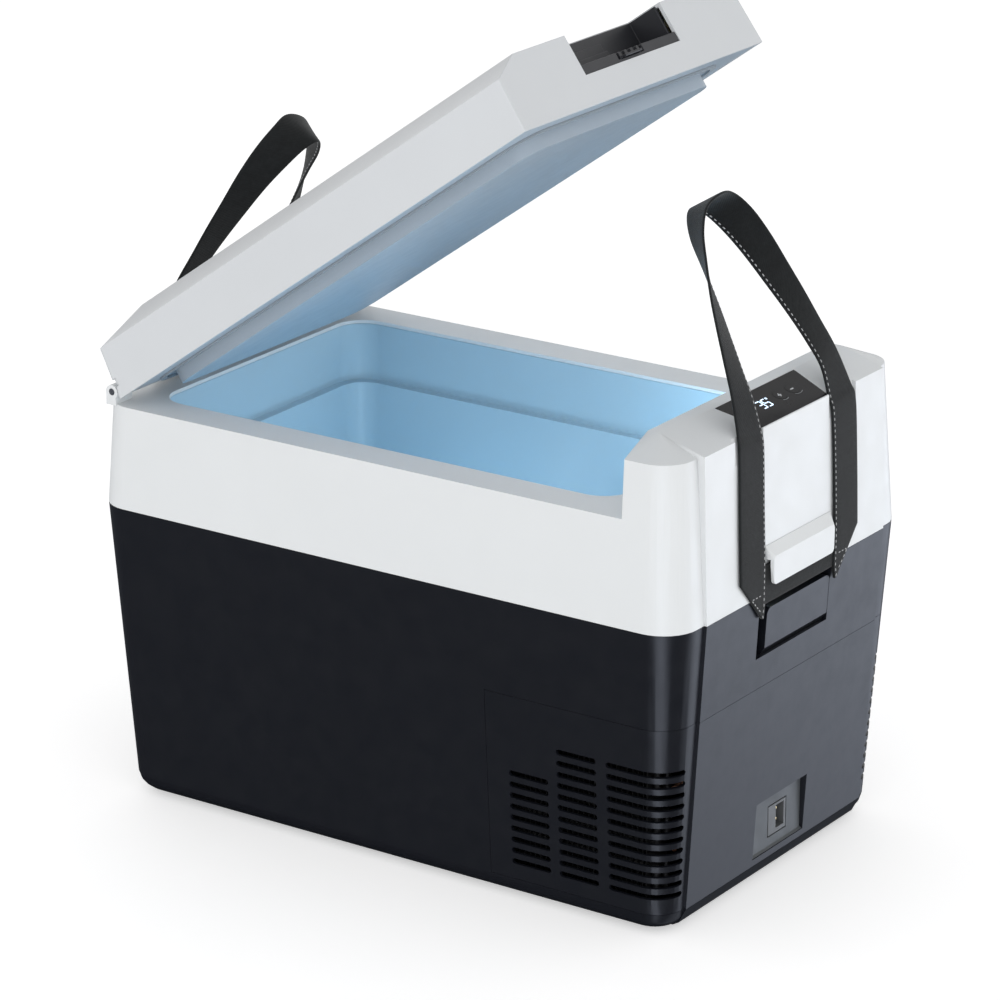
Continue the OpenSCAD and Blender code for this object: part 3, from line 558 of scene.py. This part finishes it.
def stitch_line(frames, inset, outward):
    """Row along a ribbon, a few millimetres in from its inner edge, on the face turned outwards."""
    row = []
    for low, high, normal, _ in frames:
        face = 1 if normal.dot(outward) > 0 else -1
        width = (high - low).length
        share = min(inset * MM / width, 0.5)
        row.append((low.lerp(high, share) + normal * (face * STRAP_THICK * 0.5), normal * face))
    return row


def foot_stitches(side):
    """The slanted rows that sew the feet to the cross band."""
    out = Vector((side, 0, 0))
    x = side * (STRAP_X * MM + STRAP_THICK * 0.5)
    rows = []
    for leg in (1, -1):
        for end in SEAM_ENDS:
            rows.append([(Vector((x, leg * y * MM, z * MM)), out) for y, z in (SEAM_START, end)])
    return rows


def add_straps():
    cloth = webbing("strap_webbing", (0.0088, 0.0105, 0.0115))
    thread = Material("strap_thread", (0.42, 0.43, 0.44), 0.8)
    thread.mottle(900, 0.2)
    for label, side in (("right", 1), ("left", -1)):
        outward = Vector((side, 0, 0.4))
        arch_far, arch_near = loop_edge(LOOP_FAR, side), loop_edge(LOOP_NEAR, side)
        foot_far, foot_near = foot_edges(side, FOOT_TOP_Z)
        body = "strap_" + label
        if side > 0:
            far = foot_far[:-1] + arch_far + flip_y(foot_far[:-1])
            near = foot_near[:-1] + arch_near + flip_y(foot_near[:-1])
            loop, frames = sweep_webbing(label + "_carry_loop", far, near)
            stitches = stitch_rows(label + "_loop_stitching", [stitch_line(frames, STITCH_INSET, outward)]
                                   + foot_stitches(side))
            for piece in (loop, stitches):
                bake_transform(piece)
        else:
            loop, frames = sweep_webbing(label + "_carry_loop", arch_far, arch_near)
            stitches = stitch_rows(label + "_loop_stitching", [stitch_line(frames, STITCH_INSET, outward)])
            for piece in (loop, stitches):
                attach(piece, body)
                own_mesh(piece)
            for leg, (far, near) in (("rear", (foot_far, foot_near)),
                                     ("front", (flip_y(foot_far), flip_y(foot_near)))):
                foot, _ = sweep_webbing(label + "_foot_" + leg, far, near)
                cloth.apply(foot)
                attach(foot, "body")
            sewn = stitch_rows(label + "_foot_stitching", foot_stitches(side))
            thread.apply(sewn)
            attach(sewn, "body")
        cloth.apply(loop)
        thread.apply(stitches)
        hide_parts(label + "_strap")

        x = side * (STRAP_X - CROSS_BAND_BEHIND) * MM
        step = 2 * CROSS_BAND_HALF / CROSS_BAND_STEPS
        high = [Vector((x, (-CROSS_BAND_HALF + step * k) * MM, CROSS_BAND_HIGH_Z * MM))
                for k in range(CROSS_BAND_STEPS + 1)]
        low = [Vector((p.x, p.y, CROSS_BAND_LOW_Z * MM)) for p in high]
        band, _ = sweep_webbing(label + "_cross_band", high, low, CROSS_BAND_THICK)
        cloth.apply(band)
        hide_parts(label + "_strap_base")
        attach(band, "body")


# ---------- display and marks ----------


# The sloping roof of the control end, in millimetres: its ridge, and how far it falls over its run
RIDGE_X, RIDGE_Z = 244.0, 411.4
ROOF_DROP, ROOF_RUN = 12.4, 41.5
DISPLAY_TOP = 15.4


def roof_frame():
    """Origin and axes of the sloping roof of the control end."""
    slope = math.atan(ROOF_DROP / ROOF_RUN)
    origin = Vector((RIDGE_X * MM, 0, RIDGE_Z * MM))
    down = Vector((math.cos(slope), 0, -math.sin(slope)))
    normal = Vector((math.sin(slope), 0, math.cos(slope)))
    return origin, down, normal


def roof_marks(name, outlines, lift=0.30, thick=0.12):
    """Thin raised marks on the panel: each outline is a list of (down, along) in millimetres."""
    origin, down, normal = roof_frame()
    bm = bmesh.new()
    for outline in outlines:
        base = [origin + down * (a * MM) + Vector((0, b * MM, 0)) for a, b in outline]
        low = [bm.verts.new(p + normal * (lift * MM)) for p in base]
        high = [bm.verts.new(p + normal * ((lift + thick) * MM)) for p in base]
        count = len(base)
        bm.faces.new(low[::-1])
        bm.faces.new(high)
        for k in range(count):
            n = (k + 1) % count
            bm.faces.new((low[k], low[n], high[n], high[k]))
    bmesh.ops.recalc_face_normals(bm, faces=bm.faces)
    mesh = bpy.data.meshes.new(name)
    bm.to_mesh(mesh)
    bm.free()
    return new_object(name, mesh)


def bar(a0, b0, a1, b1, w):
    """Outline of a bar from (a0, b0) to (a1, b1), w wide, with blunt pointed ends."""
    p, q = Vector((a0, b0)), Vector((a1, b1))
    d = (q - p).normalized()
    s = Vector((-d.y, d.x)) * (w / 2)
    tip = d * (w / 4)
    return [tuple(v) for v in (p, p + tip + s, q - tip + s, q, q - tip - s, p + tip - s)]


SEGMENTS = {"3": "abgcd", "5": "afgcd"}


def digit(which, top, left, high=9.6, wide=5.4, w=1.0):
    """Bars of one seven-segment digit, with small gaps between them."""
    mid, low, right = top + high / 2, top + high, left + wide
    spans = {"a": (top, left, top, right), "b": (top, right, mid, right), "c": (mid, right, low, right),
             "d": (low, left, low, right), "f": (top, left, mid, left),
             "g": (mid, left, mid, right)}
    gap = 0.1
    out = []
    for key in SEGMENTS[which]:
        a0, b0, a1, b1 = spans[key]
        d = Vector((a1 - a0, b1 - b0)).normalized() * gap
        out.append(bar(a0 + d.x, b0 + d.y, a1 - d.x, b1 - d.y, w))
    return out


def arc_band(centre, radius, start, end, w, steps=14):
    inner, outer = [], []
    for k in range(steps + 1):
        angle = math.radians(start + (end - start) * k / steps)
        for r, row in ((radius - w / 2, inner), (radius + w / 2, outer)):
            row.append((centre[0] + r * math.cos(angle), centre[1] + r * math.sin(angle)))
    return outer + inner[::-1]


def add_marks():
    glowing = Material("display_glow", (0.75, 0.87, 1.0), 0.4)
    glowing.mottle(800, 0.05)
    glowing.glow((0.60, 0.78, 1.0), 1.5)
    print_white = Material("panel_print", (0.62, 0.64, 0.66), 0.5)
    print_white.mottle(700, 0.06)
    print_grey = Material("panel_print_grey", (0.22, 0.23, 0.24), 0.5)
    print_grey.mottle(700, 0.06)

    digits = roof_marks("display_digits", digit("3", DISPLAY_TOP, -22.0) + digit("5", DISPLAY_TOP, -14.2)
                        + [arc_band((16.0, -6.2), 0.9, 0, 350, 0.6)])
    glowing.apply(digits)
    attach(digits, "body")

    marks = {
        "plus_mark": ("button_plus", [bar(19, 7.8, 19, 12.2, 1.2), bar(16.8, 10, 21.2, 10, 1.2)],
                      print_white),
        "minus_mark": ("button_minus", [bar(19, 26.6, 19, 31.4, 1.2)], print_white),
        "power_mark": ("button_power",
                       [arc_band((22, -40), 2.6, 145, -145, 0.7), bar(18.6, -40, 22, -40, 0.8)],
                       print_white),
        "panel_arcs": ("body",
                       [arc_band((17.6, 10), 8.6, 28, -28, 0.55), arc_band((16.0, 30), 10.6, 32, -32, 0.55)],
                       print_grey),
    }
    for name, (body, outlines, finish) in marks.items():
        mark = roof_marks(name, outlines, lift=0.36 if body != "body" else 0.27)
        finish.apply(mark)
        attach(mark, body)


# ---------- finishes of the CAD nodes ----------


def finish_nodes():
    dark = moulded("shell_dark", (0.0085, 0.0098, 0.0145), 0.36, grain=0.10)
    light = moulded("shell_light", (0.765, 0.785, 0.795), 0.42, grain=0.07, mottle=0.012)
    lid_shell = moulded("lid_shell", (0.66, 0.68, 0.70), 0.42, grain=0.07, mottle=0.012)
    lining = moulded("lining", (0.46, 0.62, 0.72), 0.38, grain=0.04, mottle=0.015)
    lid_inside = moulded("lid_inside", (0.40, 0.47, 0.54), 0.36, grain=0.04, mottle=0.015)
    tray = moulded("inlet_grey", (0.075, 0.083, 0.09), 0.52, grain=0.14)
    black = moulded("black_plastic", (0.013, 0.0135, 0.015), 0.46, grain=0.12, mottle=0.06)
    latch = moulded("latch_plastic", (0.022, 0.023, 0.028), 0.42, grain=0.1, mottle=0.05)
    rubber = moulded("rubber", (0.012, 0.012, 0.0125), 0.85, grain=0.3, mottle=0.1)
    gasket = moulded("gasket_rubber", (0.30, 0.34, 0.38), 0.7, grain=0.2, mottle=0.05)
    socket_grey = moulded("socket_grey", (0.11, 0.115, 0.12), 0.5, grain=0.14)
    # Painted shade: the condenser and bulkhead behind the vents are near black, so the vents look dark
    vent_shade = moulded("vent_painted_shade", (0.006, 0.006, 0.0065), 0.6, grain=0.12, mottle=0.06)

    gloss = Material("panel_gloss", (0.006, 0.006, 0.0075), 0.24, specular=0.12)
    gloss.mottle(30, 0.1)
    gloss.vary_roughness(70, 0.04)
    gloss.grain(40, 0.02, 0.0005)

    lens = Material("light_lens", (0.8, 0.9, 1.0), 0.3)
    lens.mottle(60, 0.03)
    lens.glow((0.7, 0.88, 1.0), 3.0)
    board = Material("circuit_board", (0.02, 0.16, 0.06), 0.4)
    board.mottle(260, 0.4)
    board.grain(900, 0.3, 0.0003)
    foam = Material("foam", (0.78, 0.67, 0.40), 0.9)
    foam.mottle(60, 0.08)
    foam.grain(420, 0.6, 0.0006)
    enamel = Material("compressor_enamel", (0.012, 0.012, 0.013), 0.3, coat=0.3)
    enamel.mottle(40, 0.1)
    enamel.grain(120, 0.08, 0.0005)

    steel = metal("steel", (0.55, 0.56, 0.58), 0.32, (1, 8, 1))
    zinc = metal("zinc_sheet", (0.42, 0.44, 0.46), 0.45)
    aluminium = metal("aluminium", (0.62, 0.63, 0.65), 0.38, (6, 1, 1))
    copper = metal("copper", (0.34, 0.17, 0.10), 0.4)
    brass = metal("brass_contact", (0.72, 0.56, 0.28), 0.3)

    finishes = {
        dark: ["lower_tub", "machine_cover", "right_strap_tongue", "left_strap_tongue"],
        light: ["upper_frame", "right_strap_hook", "left_strap_hook"],
        lid_shell: ["lid_cover"],
        lining: ["inner_liner", "temperature_sensor"],
        lid_inside: ["lid_inner_panel"],
        tray: ["inlet_tray"],
        black: ["fan_shroud", "fan_rotor", "fan_motor", "electronics_module", "lid_striker"],
        socket_grey: ["inlet_socket"],
        vent_shade: ["condenser", "machine_bulkhead"],
        # near-black painted shade on the parts seen through the vents
        latch: ["latch_housing", "latch_slider"],
        rubber: ["rubber_feet", "compressor_grommets", "inlet_cable"],
        gasket: ["lid_gasket"],
        gloss: ["control_panel", "power_button", "plus_button", "minus_button"],
        lens: ["interior_light", "status_lamp", "display_module"],
        board: ["control_board"],
        foam: ["foam_insulation", "lid_foam"],
        enamel: ["compressor"],
        steel: ["cover_screws", "compressor_bolts", "hinge_pin", "latch_springs"],
        zinc: ["compressor_plate"],
        aluminium: ["evaporator_panel"],
        copper: ["filter_drier", "suction_line", "discharge_line", "capillary_line"],
        brass: ["inlet_pins"],
    }
    for finish, names in finishes.items():
        for name in names:
            finish.apply(nodes[name])
            smooth(nodes[name], 30)


add_world()
add_camera()
add_floor()
finish_nodes()
add_straps()
add_marks()
# Radius of the sharp edges of each shell, in millimetres
EDGE_RADII = {
    "upper_frame": 0.6, "lid_cover": 1.0, "inner_liner": 1.2, "lid_inner_panel": 1.2,
    "right_strap_hook": 0.8, "left_strap_hook": 0.8, "latch_housing": 0.5, "latch_slider": 0.4,
    "inlet_tray": 0.4, "inlet_socket": 0.3, "control_panel": 0.2,
}
for shell, radius in EDGE_RADII.items():
    soften(shell, radius)
for shell in ("lower_tub", "machine_cover"):
    even(shell)
add_area("key", (1.6, -2.2, 2.6), (0, 0, 0.25), (2.4, 2.4), 10)
# Bluish light inside the cold box, near its lamp and in its deep end
BOX_LIGHT = (0.6, 0.84, 1.0)
add_point("box_lamp_glow", (0.165, 0.04, 0.325), 0.34, BOX_LIGHT, 0.02)
add_point("deep_end_glow", (-0.08, 0.0, 0.2), 0.26, BOX_LIGHT, 0.04)
bpy.context.scene.view_settings.view_transform = "Standard"
